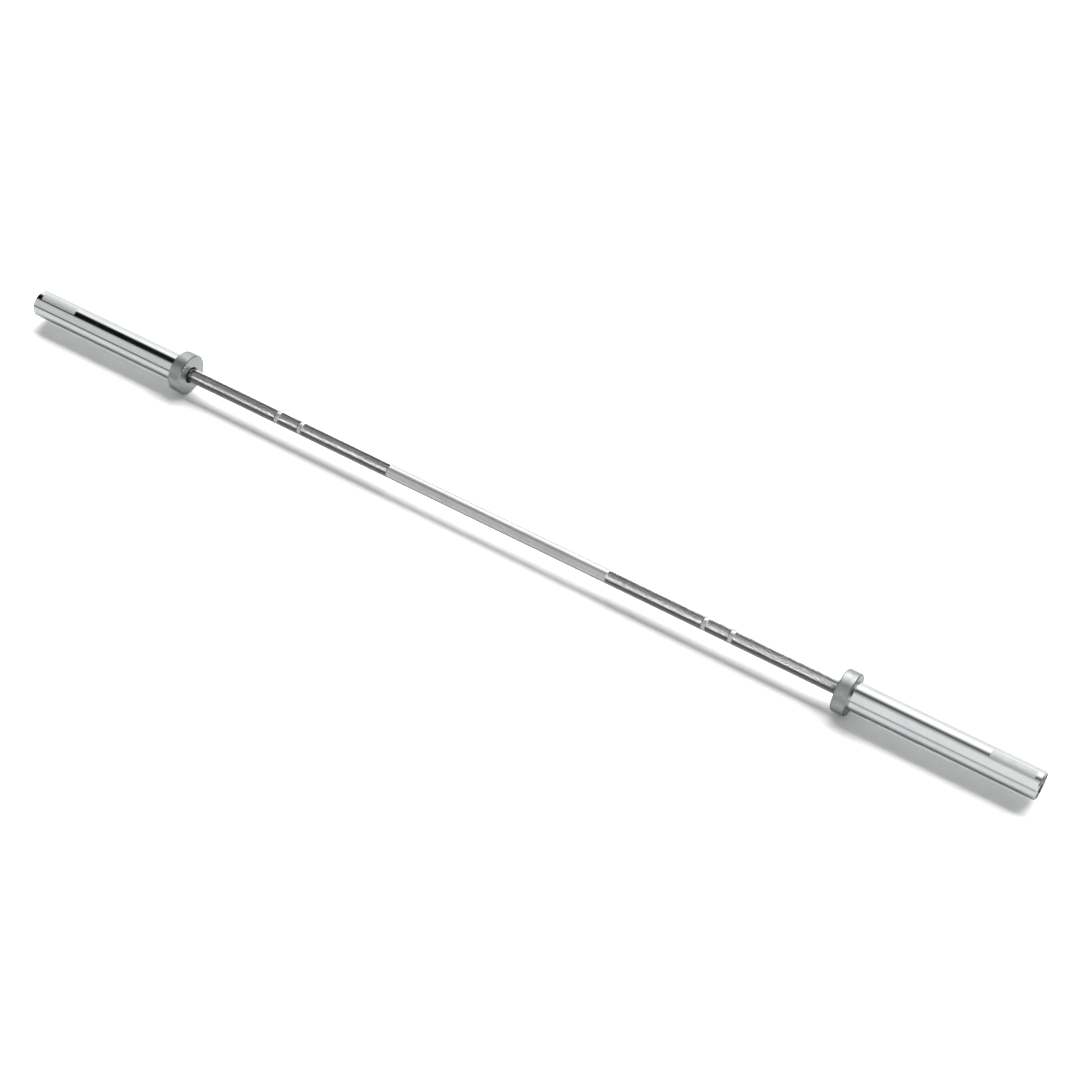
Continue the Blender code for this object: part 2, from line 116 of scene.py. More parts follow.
def rounded(corners):
    """Points of a closed profile whose corners are rounded.

    Each corner is (along, radius, rounding). A rounding of 0 stays sharp. Else the corner C is
    cut back by the rounding to A and B on its two sides, and the quadratic curve
    (1-t)^2 A + 2t(1-t) C + t^2 B joins them. Long straights get a point near each end, so
    that smooth shading bends at the corners only.
    """
    places = np.array([corner[:2] for corner in corners], float)
    t = np.linspace(0.0, 1.0, ROUNDING_STEPS + 1)[:, None]
    out = []
    for i, (_, radius, rounding) in enumerate(corners):
        here, before, after = places[i], places[i - 1], places[(i + 1) % len(corners)]
        back, ahead = np.linalg.norm(before - here), np.linalg.norm(after - here)
        towards_back, towards_ahead = (before - here) / back, (after - here) / ahead
        on_axis = radius <= 0.0
        long = 4 * STRAIGHT_MARGIN + 2 * rounding
        if back > long and not (on_axis and before[1] <= 0.0):
            out.append((here + (rounding + STRAIGHT_MARGIN) * towards_back)[None, :])
        if rounding <= 0.0:
            out.append(here[None, :])
        else:
            start, end = here + rounding * towards_back, here + rounding * towards_ahead
            out.append((1 - t) ** 2 * start + 2 * t * (1 - t) * here + t ** 2 * end)
        if ahead > long and not (on_axis and after[1] <= 0.0):
            out.append((here + (rounding + STRAIGHT_MARGIN) * towards_ahead)[None, :])
    return np.concatenate(out)


def carried_round(name, along, radius, side, smooth=True, cut=None):
    """Carry rows of points round the X axis and close them into one body.

    Row i stands at x = side * along(i), and its point j at y = r(i, j) cos a(j) and
    z = r(i, j) sin a(j). A first and last row on the axis are one point each. Else the last
    row joins the first. cut says which diagonal splits each four-sided face, where they are
    to be triangles.
    """
    rows, sectors = radius.shape
    solid = bool(np.all(radius[0] <= 0.0))
    angle = np.arange(sectors) * (math.tau / sectors)
    ring_rows = slice(1, rows - 1) if solid else slice(0, rows)
    r = radius[ring_rows]
    x = np.broadcast_to(side * along[ring_rows, None], r.shape)
    points = np.stack([x, r * np.cos(angle), r * np.sin(angle)], axis=-1).reshape(-1, 3)
    rings = len(r)
    i = np.arange(rings - 1 if solid else rings)[:, None]
    j = np.arange(sectors)[None, :]
    i_on, j_on = (i + 1) % rings, (j + 1) % sectors
    a, b = i * sectors + j, i * sectors + j_on
    c, d = i_on * sectors + j_on, i_on * sectors + j
    if cut is None:
        faces = [np.stack([a, b, c, d], axis=-1).reshape(-1, 4)]
    else:
        first = np.where(cut[..., None], np.stack([a, b, c], -1), np.stack([a, b, d], -1))
        second = np.where(cut[..., None], np.stack([a, c, d], -1), np.stack([b, c, d], -1))
        faces = [first.reshape(-1, 3), second.reshape(-1, 3)]
    if solid:
        start, end = len(points), len(points) + 1
        poles = np.array([[side * along[0], 0.0, 0.0], [side * along[-1], 0.0, 0.0]])
        points = np.concatenate([points, poles])
        ring = np.arange(sectors)
        ring_on = (ring + 1) % sectors
        base = (rings - 1) * sectors
        faces.append(np.stack([np.full(sectors, start), ring_on, ring], axis=-1))
        faces.append(np.stack([np.full(sectors, end), base + ring, base + ring_on], axis=-1))
    if side * way_round(along, radius[:, 0]) > 0:
        faces = [part[:, ::-1] for part in faces]
    return surface(name, points, faces, smooth)


def way_round(along, radius):
    """Positive where the profile goes round its own area anticlockwise, by the area's sign."""
    return np.sum(along * np.roll(radius, -1) - np.roll(along, -1) * radius)


def turned(name, corners, side, sectors=FINE_SECTORS):
    """A turned piece: a rounded profile carried round the axis."""
    profile = rounded(corners)
    radius = np.repeat(profile[:, 1:], sectors, axis=1)
    return carried_round(name, profile[:, 0], radius, side)


def knurled(name, start, stop, side):
    """A band of the shaft with diamonds cut by two sets of helical V grooves.

    With u the grooves counted round the bar and v the pitches along it, one set of grooves
    runs where u + v is whole and the other where u - v is whole. A point's height depends on
    t, its distance in pitches from the nearest groove of either set: it climbs from the
    bottom at t = 0 to the foot of the tip at t = 1/4, and then slowly to the tip at t = 1/2.
    The grid has four steps a pitch both ways and each square is cut along a groove's bottom,
    or else along a tip's edge, so the facets give the form exactly. The depth fades out at
    both ends of the band.
    """
    sectors = KNURL_STARTS * STEPS_A_PITCH
    pitch = math.tau * KNURL_RADIUS / KNURL_STARTS / math.tan(KNURL_ANGLE)
    first, last = start + BAND_CHAMFER, stop - BAND_CHAMFER
    shortest_step = 0.1
    cuts = np.arange(first, last - shortest_step, pitch / STEPS_A_PITCH)
    cuts = np.append(cuts, last)
    u = np.arange(sectors)[None, :] / STEPS_A_PITCH
    v = (cuts[:, None] - first) / pitch
    t = np.minimum(np.abs(u + v - np.round(u + v)), np.abs(u - v - np.round(u - v)))
    height = np.interp(t, [0.0, 0.25, 0.5], [-KNURL_DEPTH, -TIP_RISE, 0.0])
    fade = np.clip(np.minimum(cuts - first, last - cuts) / KNURL_FADE, 0.0, 1.0)
    band = KNURL_RADIUS + height * fade[:, None]
    foot = np.full((1, sectors), KNURL_RADIUS - BAND_CHAMFER)
    axis = np.zeros((1, sectors))
    radius = np.concatenate([axis, foot, band, foot, axis])
    along = np.concatenate([[start, start], cuts, [stop, stop]])
    i = np.arange(len(along) - 3)[:, None] - 1
    j = np.arange(sectors)[None, :]
    down, up = (j - i) % STEPS_A_PITCH, (j + i + 1) % STEPS_A_PITCH
    cut = (down == 0) | ((down % 2 == 1) & (up != 0))
    return carried_round(name, along, radius, side, smooth=False, cut=cut)


def label(name, side):
    """A thin panel with rounded corners, bent round the top of the sleeve.

    Its outline is a rounded rectangle. Rings of that outline shrink towards the middle by
    the factor s, and a point (p, q) of a ring is laid on the sleeve at x = p and at the angle
    q / R, with the panel's thickness added to the radius R.
    """
    half_long = (LABEL_PLACE[1] - LABEL_PLACE[0]) / 2
    half_wide = LABEL_ARC * SLEEVE_RADIUS / 2
    corner_steps, straight_steps, ring_steps, edge = 8, 23, 14, 0.06
    turn = np.linspace(0.0, math.pi / 2, corner_steps + 1)
    corner_p = (half_long - LABEL_CORNER) + LABEL_CORNER * np.cos(turn)
    corner_q = (half_wide - LABEL_CORNER) + LABEL_CORNER * np.sin(turn)
    across = np.linspace(1.0, -1.0, straight_steps + 1)[1:-1]
    flat_p = across * (half_long - LABEL_CORNER)
    flat_q = across[::3] * (half_wide - LABEL_CORNER)
    p = np.concatenate([
        corner_p, flat_p, -corner_p[::-1], np.full(len(flat_q), -half_long),
        -corner_p, -flat_p, corner_p[::-1], np.full(len(flat_q), half_long)])
    q = np.concatenate([
        corner_q, np.full(len(flat_p), half_wide), corner_q[::-1], flat_q,
        -corner_q, np.full(len(flat_p), -half_wide), -corner_q[::-1], -flat_q])
    top = np.linspace(0.0, 1.0, ring_steps + 1)[1:]
    rings = [(s, LABEL_THICKNESS) for s in top[:-1]]
    rings += [(1.0 - edge / half_wide, LABEL_THICKNESS), (1.0, LABEL_THICKNESS - edge),
              (1.0, -LABEL_THICKNESS)]
    rings += [(s, -LABEL_THICKNESS) for s in top[-2::-1]]
    shrink = np.array([ring[0] for ring in rings])[:, None]
    height = np.array([ring[1] for ring in rings])[:, None]
    middle = (LABEL_PLACE[0] + LABEL_PLACE[1]) / 2
    lift = math.pi / 2 + LABEL_TURN

    def on_sleeve(p, q, height):
        """The point (p, q) of the panel, laid on the sleeve at a height over it."""
        angle = lift + q / SLEEVE_RADIUS
        r = SLEEVE_RADIUS + height
        return np.stack([side * (middle + p) + 0 * angle, r * np.cos(angle), r * np.sin(angle)],
                        axis=-1)

    points = on_sleeve(shrink * p, shrink * q, height).reshape(-1, 3)
    poles = np.stack([on_sleeve(0.0, np.zeros(1), LABEL_THICKNESS)[0],
                      on_sleeve(0.0, np.zeros(1), -LABEL_THICKNESS)[0]])
    count, rows = len(p), len(rings)
    i = np.arange(rows - 1)[:, None]
    j = np.arange(count)[None, :]
    j_on = (j + 1) % count
    here, on = i * count, (i + 1) * count
    quads = np.stack([here + j, on + j, on + j_on, here + j_on], axis=-1).reshape(-1, 4)
    ring = np.arange(count)
    ring_on = (ring + 1) % count
    base = (rows - 1) * count
    fans = [np.stack([np.full(count, len(points)), ring, ring_on], axis=-1),
            np.stack([np.full(count, len(points) + 1), base + ring_on, base + ring], axis=-1)]
    faces = [quads] + fans
    if side > 0:
        faces = [part[:, ::-1] for part in faces]
    return surface(name, np.concatenate([points, poles]), faces)


# Material building

def new_group(name, inputs, outputs):
    """An empty shader node group with named sockets, and its two end nodes."""
    group = bpy.data.node_groups.new(name, "ShaderNodeTree")
    for socket, kind, value in inputs:
        made = group.interface.new_socket(socket, in_out="INPUT", socket_type=kind)
        if value is not None:
            made.default_value = value
    for socket, kind in outputs:
        group.interface.new_socket(socket, in_out="OUTPUT", socket_type=kind)
    return group, group.nodes.new("NodeGroupInput"), group.nodes.new("NodeGroupOutput")


def node(tree, kind, values=None, **settings):
    """Add a node, set its options and set or link its inputs."""
    made = tree.nodes.new(kind)
    for option, value in settings.items():
        setattr(made, option, value)
    for socket, value in (values or {}).items():
        if isinstance(value, bpy.types.NodeSocket):
            tree.links.new(value, made.inputs[socket])
        else:
            made.inputs[socket].default_value = value
    return made


def maths(tree, operation, *values, clamp=False):
    """The result of a Math node on numbers or sockets."""
    made = node(tree, "ShaderNodeMath", dict(enumerate(values)), operation=operation,
                use_clamp=clamp)
    return made.outputs[0]


def product(tree, first, *others):
    """All the values multiplied."""
    for other in others:
        first = maths(tree, "MULTIPLY", first, other)
    return first


def from_axis(tree, place):
    """A point's distance from the bar's axis, the root of y^2 + z^2."""
    return maths(tree, "SQRT", maths(
        tree, "ADD", maths(tree, "POWER", place.outputs["Y"], 2.0),
        maths(tree, "POWER", place.outputs["Z"], 2.0)))


def between(tree, value, low, high, out_low=0.0, out_high=1.0, smooth=False):
    """Map a value from one range to another and hold it there."""
    made = node(tree, "ShaderNodeMapRange", {
        "Value": value, "From Min": low, "From Max": high,
        "To Min": out_low, "To Max": out_high}, clamp=True)
    if smooth:
        made.interpolation_type = "SMOOTHSTEP"
    return made.outputs["Result"]


def turning_marks():
    """Fine rings left by turning or grinding: noise squeezed along the bar."""
    group, given, out = new_group("turning marks", [
        ("Vector", "NodeSocketVector", None), ("Rings per metre", "NodeSocketFloat", 4000.0),
    ], [("Height", "NodeSocketFloat"), ("Shade", "NodeSocketFloat")])
    place = node(group, "ShaderNodeSeparateXYZ", {0: given.outputs["Vector"]})
    across_scale = 60.0
    across = maths(group, "MULTIPLY", place.outputs["Y"], across_scale)
    down = maths(group, "MULTIPLY", place.outputs["Z"], across_scale)
    along = maths(group, "MULTIPLY", place.outputs["X"], given.outputs["Rings per metre"])
    squeezed = node(group, "ShaderNodeCombineXYZ", {0: along, 1: across, 2: down})
    fine = node(group, "ShaderNodeTexNoise", {
        "Vector": squeezed.outputs[0], "Scale": 1.0, "Detail": 3.0, "Roughness": 0.6})
    coarse = node(group, "ShaderNodeTexNoise", {
        "Vector": squeezed.outputs[0], "Scale": 0.11, "Detail": 1.0})
    group.links.new(fine.outputs["Fac"], out.inputs["Height"])
    group.links.new(between(group, coarse.outputs["Fac"], 0.3, 0.7), out.inputs["Shade"])
    return group


def facing_marks():
    """Rings left on a flat end by facing it in the lathe: noise of the radius."""
    group, given, out = new_group("facing marks", [
        ("Vector", "NodeSocketVector", None), ("Rings per metre", "NodeSocketFloat", 3000.0),
    ], [("Height", "NodeSocketFloat")])
    place = node(group, "ShaderNodeSeparateXYZ", {0: given.outputs["Vector"]})
    rings = maths(group, "MULTIPLY", from_axis(group, place), given.outputs["Rings per metre"])
    noise = node(group, "ShaderNodeTexNoise", {"W": rings, "Scale": 1.0, "Detail": 2.0},
                 noise_dimensions="1D")
    group.links.new(noise.outputs["Fac"], out.inputs["Height"])
    return group


def handling():
    """Faint smears and fine scuffs from hands and plates."""
    group, given, out = new_group("handling", [
        ("Vector", "NodeSocketVector", None), ("Amount", "NodeSocketFloat", 1.0),
    ], [("Smear", "NodeSocketFloat"), ("Scuff", "NodeSocketFloat")])
    smear = node(group, "ShaderNodeTexNoise", {
        "Vector": given.outputs["Vector"], "Scale": 26.0, "Detail": 4.0, "Roughness": 0.55,
        "Distortion": 0.6})
    speck = node(group, "ShaderNodeTexNoise", {
        "Vector": given.outputs["Vector"], "Scale": 900.0, "Detail": 2.0})
    group.links.new(
        maths(group, "MULTIPLY", between(group, smear.outputs["Fac"], 0.42, 0.68),
              given.outputs["Amount"]), out.inputs["Smear"])
    group.links.new(
        maths(group, "MULTIPLY", between(group, speck.outputs["Fac"], 0.62, 0.75),
              given.outputs["Amount"]), out.inputs["Scuff"])
    return group


def blasting():
    """Fine even grain of a bead-blasted surface."""
    group, given, out = new_group("blasted grain", [
        ("Vector", "NodeSocketVector", None), ("Grains per metre", "NodeSocketFloat", 2600.0),
    ], [("Height", "NodeSocketFloat"), ("Patch", "NodeSocketFloat")])
    grain = node(group, "ShaderNodeTexNoise", {
        "Vector": given.outputs["Vector"], "Scale": given.outputs["Grains per metre"],
        "Detail": 2.0})
    patch = node(group, "ShaderNodeTexNoise", {
        "Vector": given.outputs["Vector"], "Scale": 90.0, "Detail": 3.0})
    group.links.new(grain.outputs["Fac"], out.inputs["Height"])
    group.links.new(between(group, patch.outputs["Fac"], 0.35, 0.65), out.inputs["Patch"])
    return group


def groove_depth():
    """How deep in the knurl a point lies: 0 on the tips and 1 on the grooves' bottoms."""
    group, given, out = new_group("groove depth", [
        ("Vector", "NodeSocketVector", None),
        ("Tip radius", "NodeSocketFloat", KNURL_RADIUS * MM),
        ("Depth", "NodeSocketFloat", KNURL_DEPTH * MM),
    ], [("Depth", "NodeSocketFloat")])
    place = node(group, "ShaderNodeSeparateXYZ", {0: given.outputs["Vector"]})
    below = maths(group, "SUBTRACT", given.outputs["Tip radius"], from_axis(group, place))
    group.links.new(maths(group, "DIVIDE", below, given.outputs["Depth"], clamp=True),
                    out.inputs["Depth"])
    return group


def painted_collar_shade():
    """Painted shade on the shaft beside the collars: none at 0 and full at 1.

    It reaches 10 mm out of the left collar, and 5 mm out of the right one.
    """
    group, given, out = new_group("painted collar shade", [("Vector", "NodeSocketVector", None)],
                                  [("Oil", "NodeSocketFloat")])
    along = node(group, "ShaderNodeSeparateXYZ", {0: given.outputs["Vector"]}).outputs["X"]
    left = between(group, along, -0.644, -0.651, smooth=True)
    right = between(group, along, 0.650, 0.6535, smooth=True)
    # The output is painted shade on the shaft beside the collars.
    group.links.new(maths(group, "ADD", left, right), out.inputs["Oil"])
    return group


GROUPS = {
    "turning": turning_marks(),
    "facing": facing_marks(),
    "handling": handling(),
    "blasting": blasting(),
    "groove": groove_depth(),
    "collar_shade": painted_collar_shade(),
}


def start_material(name, metallic, roughness, colour):
    """A material with its Principled shader, and the object coordinates to work from."""
    material = bpy.data.materials.new(name)
    material.use_nodes = True
    tree = material.node_tree
    shader = tree.nodes["Principled BSDF"]
    shader.inputs["Metallic"].default_value = metallic
    shader.inputs["Roughness"].default_value = roughness
    shader.inputs["Base Color"].default_value = (*colour, 1.0)
    place = tree.nodes.new("ShaderNodeTexCoord").outputs["Object"]
    return material, tree, shader, place


def placed(tree, name, place, **values):
    """One of the shared effects, placed in a material."""
    made = tree.nodes.new("ShaderNodeGroup")
    made.node_tree = GROUPS[name]
    tree.links.new(place, made.inputs["Vector"])
    for socket, value in values.items():
        made.inputs[socket.replace("_", " ").capitalize()].default_value = value
    return made


def blend_colours(tree, factor, first, second):
    """The first colour at a factor of 0 and the second at 1."""
    made = node(tree, "ShaderNodeMix", {"Factor": factor}, data_type="RGBA")
    for socket, colour in (("A", first), ("B", second)):
        target = [s for s in made.inputs if s.name == socket and s.type == "RGBA"][0]
        if isinstance(colour, bpy.types.NodeSocket):
            tree.links.new(colour, target)
        else:
            target.default_value = (*colour, 1.0)
    return [s for s in made.outputs if s.type == "RGBA"][0]


def roughen(tree, shader, base, *effects):
    """Set the roughness to a base, plus each effect's mask times its amount."""
    for mask, amount in effects:
        base = maths(tree, "ADD", base, maths(tree, "MULTIPLY", mask, amount))
    tree.links.new(base, shader.inputs["Roughness"])


def raise_surface(tree, shader, height, distance, strength):
    """Bump the shader's surface by a height, which is the given distance in metres at 1."""
    bump = node(tree, "ShaderNodeBump", {
        "Height": height, "Distance": distance, "Strength": strength})
    tree.links.new(bump.outputs["Normal"], shader.inputs["Normal"])


def bright_chrome():
    """Polished hard chrome with hair-fine rings and faint smears."""
    colour = (0.825, 0.862, 0.858)
    material, tree, shader, place = start_material("bright chrome", 1.0, 0.1, colour)
    marks = placed(tree, "turning", place, rings_per_metre=2600.0)
    worn = placed(tree, "handling", place, amount=1.0)
    roughen(tree, shader, 0.09, (marks.outputs["Shade"], 0.03), (worn.outputs["Smear"], 0.05),
            (worn.outputs["Scuff"], 0.06))
    tree.links.new(blend_colours(tree, worn.outputs["Smear"], colour, (0.79, 0.81, 0.815)),
                   shader.inputs["Base Color"])
    raise_surface(tree, shader, marks.outputs["Height"], 0.000002, 0.5)
    return material


def faced_chrome():
    """Chrome on the flat end faces, with the rings of facing."""
    colour = (0.80, 0.82, 0.82)
    material, tree, shader, place = start_material("faced chrome", 1.0, 0.16, colour)
    marks = placed(tree, "facing", place, rings_per_metre=2400.0)
    worn = placed(tree, "handling", place, amount=1.0)
    roughen(tree, shader, 0.14, (worn.outputs["Smear"], 0.08))
    raise_surface(tree, shader, marks.outputs["Height"], 0.000008, 0.7)
    return material


def satin_chrome():
    """Bead-blasted chrome of the collars, darker than the sleeves, with painted light on the
    flat faces.
    """
    colour = (0.43, 0.457, 0.452)
    material, tree, shader, place = start_material("satin chrome", 1.0, 0.34, colour)
    grain = placed(tree, "blasting", place, grains_per_metre=2600.0)
    worn = placed(tree, "handling", place, amount=1.0)
    tone = blend_colours(tree, grain.outputs["Patch"], colour, (0.395, 0.422, 0.417))
    tone = blend_colours(tree, worn.outputs["Scuff"], tone, (0.505, 0.532, 0.527))
    normal = node(tree, "ShaderNodeSeparateXYZ", {
        0: tree.nodes.new("ShaderNodeTexCoord").outputs["Normal"]})
    # The flat faces are painted lighter, standing in for the brighter light that they reflect.
    painted_face_light = between(tree, maths(tree, "ABSOLUTE", normal.outputs["X"]), 0.75, 0.98, smooth=True)
    tone = blend_colours(tree, maths(tree, "MULTIPLY", painted_face_light, 0.9), tone, (0.57, 0.60, 0.593))
    tree.links.new(tone, shader.inputs["Base Color"])
    roughen(tree, shader, 0.36, (grain.outputs["Patch"], 0.07))
    raise_surface(tree, shader, grain.outputs["Height"], 0.00003, 0.6)
    return material


def shaft_chrome():
    """Ground and chromed steel of the smooth middle and the plain rings."""
    colour = (0.70, 0.71, 0.71)
    material, tree, shader, place = start_material("shaft chrome", 1.0, 0.26, colour)
    marks = placed(tree, "turning", place, rings_per_metre=3400.0)
    worn = placed(tree, "handling", place, amount=1.0)
    roughen(tree, shader, 0.38, (marks.outputs["Shade"], 0.05), (worn.outputs["Smear"], 0.05))
    tone = blend_colours(tree, worn.outputs["Smear"], colour, (0.65, 0.66, 0.66))
    # Painted shade on the shaft beside the collars.
    collar_shade = placed(tree, "collar_shade", place).outputs["Oil"]
    tone = blend_colours(tree, maths(tree, "MULTIPLY", collar_shade, 0.9), tone, (0.04, 0.04, 0.038))
    tree.links.new(tone, shader.inputs["Base Color"])
    raise_surface(tree, shader, marks.outputs["Height"], 0.000006, 0.6)
    return material


def knurled_chrome():
    """Chrome on the knurl: bright tips, painted shade in the grooves, and painted shade beside
    the collars.
    """
    tips, grooves = (0.38, 0.39, 0.38), (0.09, 0.09, 0.085)
    material, tree, shader, place = start_material("knurled chrome", 1.0, 0.25, tips)
    depth = placed(tree, "groove", place)
    worn = placed(tree, "handling", place, amount=1.0)
    # The grooves' dark colour is painted shade, stronger the deeper a point lies.
    low = between(tree, depth.outputs["Depth"], 0.5, 1.0)
    tone = blend_colours(tree, low, tips, grooves)
    tone = blend_colours(tree, maths(tree, "MULTIPLY", worn.outputs["Smear"], 0.3), tone,
                         (0.30, 0.30, 0.30))
    # Painted shade on the knurl beside the collars.
    collar_shade = placed(tree, "collar_shade", place).outputs["Oil"]
    tone = blend_colours(tree, maths(tree, "MULTIPLY", collar_shade, 0.75), tone, (0.04, 0.04, 0.038))
    tree.links.new(tone, shader.inputs["Base Color"])
    roughen(tree, shader, 0.2, (low, 0.3))
    return material


def ground_steel():
    """Oiled bearing steel with grinding lines."""
    colour = (0.58, 0.58, 0.59)
    material, tree, shader, place = start_material("ground steel", 1.0, 0.25, colour)
    marks = placed(tree, "turning", place, rings_per_metre=5000.0)
    worn = placed(tree, "handling", place, amount=0.8)
    tree.links.new(blend_colours(tree, worn.outputs["Smear"], colour, (0.50, 0.49, 0.46)),
                   shader.inputs["Base Color"])
    roughen(tree, shader, 0.2, (marks.outputs["Shade"], 0.12))
    raise_surface(tree, shader, marks.outputs["Height"], 0.000006, 0.6)
    return material


def spring_steel():
    """Stainless spring steel with a fine grain and lighter worn patches."""
    colour = (0.52, 0.52, 0.53)
    material, tree, shader, place = start_material("spring steel", 1.0, 0.4, colour)
    grain = placed(tree, "blasting", place, grains_per_metre=3000.0)
    worn = placed(tree, "handling", place, amount=1.0)
    tone = blend_colours(tree, grain.outputs["Patch"], colour, (0.46, 0.46, 0.465))
    tree.links.new(blend_colours(tree, worn.outputs["Scuff"], tone, (0.64, 0.64, 0.64)),
                   shader.inputs["Base Color"])
    roughen(tree, shader, 0.34, (grain.outputs["Patch"], 0.14))
    raise_surface(tree, shader, grain.outputs["Height"], 0.00001, 0.5)
    return material


def bronze():
    """Oil-filled sintered bronze."""
    colour = (0.55, 0.36, 0.17)
    material, tree, shader, place = start_material("sintered bronze", 1.0, 0.35, colour)
    grain = placed(tree, "blasting", place, grains_per_metre=3400.0)
    tone = blend_colours(tree, grain.outputs["Patch"], colour, (0.46, 0.29, 0.13))
    tree.links.new(tone, shader.inputs["Base Color"])
    roughen(tree, shader, 0.3, (grain.outputs["Patch"], 0.16))
    raise_surface(tree, shader, grain.outputs["Height"], 0.00002, 0.6)
    return material


def black_rubber():
    """Matt nitrile rubber with a trace of dust."""
    colour = (0.018, 0.018, 0.019)
    material, tree, shader, place = start_material("black rubber", 0.0, 0.6, colour)
    shader.inputs["Specular IOR Level"].default_value = 0.15
    grain = placed(tree, "blasting", place, grains_per_metre=1800.0)
    tree.links.new(blend_colours(tree, grain.outputs["Patch"], colour, (0.032, 0.032, 0.032)),
                   shader.inputs["Base Color"])
    roughen(tree, shader, 0.55, (grain.outputs["Patch"], 0.2))
    raise_surface(tree, shader, grain.outputs["Height"], 0.00002, 0.5)
    return material


def label_film():
    """Bare frosted silver film of the label panel."""
    colour = (0.61, 0.64, 0.634)
    material, tree, shader, place = start_material("label film", 0.35, 0.45, colour)
    grain = placed(tree, "blasting", place, grains_per_metre=4000.0)
    tree.links.new(blend_colours(tree, grain.outputs["Patch"], colour, (0.58, 0.61, 0.604)),
                   shader.inputs["Base Color"])
    roughen(tree, shader, 0.42, (grain.outputs["Patch"], 0.06))
    raise_surface(tree, shader, grain.outputs["Height"], 0.000008, 0.4)
    return material


FINISHES = {
    "bright_chrome": bright_chrome(),
    "faced_chrome": faced_chrome(),
    "satin_chrome": satin_chrome(),
    "shaft_chrome": shaft_chrome(),
    "knurled_chrome": knurled_chrome(),
    "ground_steel": ground_steel(),
    "spring_steel": spring_steel(),
    "bronze": bronze(),
    "black_rubber": black_rubber(),
    "label_film": label_film(),
}

# Pieces of these finishes see a window of their own
WINDOW_PIECES = {finish: bpy.data.collections.new("pieces in " + finish)
                 for finish in ("knurled_chrome", "shaft_chrome", "satin_chrome")}


def dress(obj, finish, body, slot, *nodes):
    """Give a piece its finish, the body that it rides on and the solids that it stands for."""
    obj.data.materials.clear()
    obj.data.materials.append(FINISHES[finish])
    if finish in WINDOW_PIECES:
        WINDOW_PIECES[finish].objects.link(obj)
    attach(obj, body)
    if nodes:
        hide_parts(*nodes)


# Shaft

def smooth_middle():
    """The shaft's smooth middle, from one inner knurl to the other."""
    half = KNURL_START
    corners = [(-half, 0.0, 0.0), (-half, SMOOTH_RADIUS, 0.0), (half, SMOOTH_RADIUS, 0.0),
               (half, 0.0, 0.0)]
    dress(turned("shaft_smooth_middle", corners, 1), "shaft_chrome", "bar", "knurled_steel",
          "shaft")


def shaft_side(side_name, side):
    """One side's knurled bands, plain rings, shoulder and journal."""
    edges = [KNURL_START] + [edge for ring in RING_PLACES for edge in ring] + [KNURL_STOP]
    bands = list(zip(edges[0::2], edges[1::2]))
    for place, (start, stop) in zip(("inner", "middle", "outer"), bands):
        band = knurled(f"{side_name}_{place}_knurl", start, stop, side)
        dress(band, "knurled_chrome", "bar", "knurled_steel", "shaft")
    for place, (start, stop) in zip(("inner", "outer"), RING_PLACES):
        corners = [(start, 0.0, 0.0), (start, PLAIN_RING_RADIUS, 0.0),
                   (stop, PLAIN_RING_RADIUS, 0.0), (stop, 0.0, 0.0)]
        ring = turned(f"{side_name}_{place}_plain_ring", corners, side)
        dress(ring, "shaft_chrome", "bar", "knurled_steel", "shaft")
    groove, tip = JOURNAL_RADIUS - 0.8, 1.5
    corners = [
        (KNURL_STOP, 0.0, 0.0), (KNURL_STOP, SMOOTH_RADIUS, 0.0),
        (SHOULDER, SMOOTH_RADIUS, 0.4), (SHOULDER, JOURNAL_RADIUS, 0.0),
        (SHAFT_GROOVE[0], JOURNAL_RADIUS, 0.1), (SHAFT_GROOVE[0], groove, 0.0),
        (SHAFT_GROOVE[1], groove, 0.0), (SHAFT_GROOVE[1], JOURNAL_RADIUS, 0.1),
        (SHAFT_END - tip, JOURNAL_RADIUS, 0.3), (SHAFT_END, JOURNAL_RADIUS - tip, 0.3),
        (SHAFT_END, 0.0, 0.0)]
    journal = turned(f"{side_name}_journal", corners, side)
    dress(journal, "shaft_chrome", "bar", "knurled_steel", "shaft")


# Sleeve assembly: corners of the profiles, as distance from the middle, radius and rounding

SLEEVE = [
    (660.3, SLEEVE_RADIUS, 0.3), (1003.0, SLEEVE_RADIUS, 0.45), (1005.0, 23.0, 0.3),
    (1005.0, 22.2, 0.15), (1003.2, 22.2, 0.1), (1003.2, 23.3, 0.0), (1001.4, 23.3, 0.0),
    (1001.4, 22.2, 0.1), (993.1, 22.2, 0.0), (993.1, 16.5, 0.1), (966.7, 16.5, 0.0),
    (966.7, 14.8, 0.1), (698.9, 14.8, 0.1), (698.9, 16.5, 0.0), (663.1, 16.5, 0.1),
    (663.1, 18.5, 0.0), (660.3, 18.5, 0.1)]
COLLAR = [
    (655.0, 35.5, 0.4), (657.0, COLLAR_RADIUS, 0.5), (678.0, COLLAR_RADIUS, 0.5),
    (680.0, 35.5, 0.4), (680.0, 25.8, 0.15), (679.5, 25.3, 0.15), (660.0, 25.3, 0.0),
    (660.0, 15.4, 0.1), (655.5, 15.4, 0.15), (655.0, 15.9, 0.15)]
DUST_SEAL = [
    (655.6, 15.1, 0.2), (659.4, 15.1, 0.2), (659.4, 12.8, 0.1), (657.5, 13.8, 0.2),
    (655.6, 12.8, 0.1)]
END_CAP = [
    (993.4, 0.0, 0.0), (993.4, 21.3, 0.15), (994.0, 21.9, 0.15), (996.35, 21.9, 0.1),
    (996.35, 20.1, 0.0), (998.45, 20.1, 0.0), (998.45, 21.9, 0.1), (1000.8, 21.9, 0.15),
    (1001.4, 21.3, 0.15), (1001.4, 15.4, 0.25), (1000.6, 14.6, 0.25), (1000.6, 0.0, 0.0)]
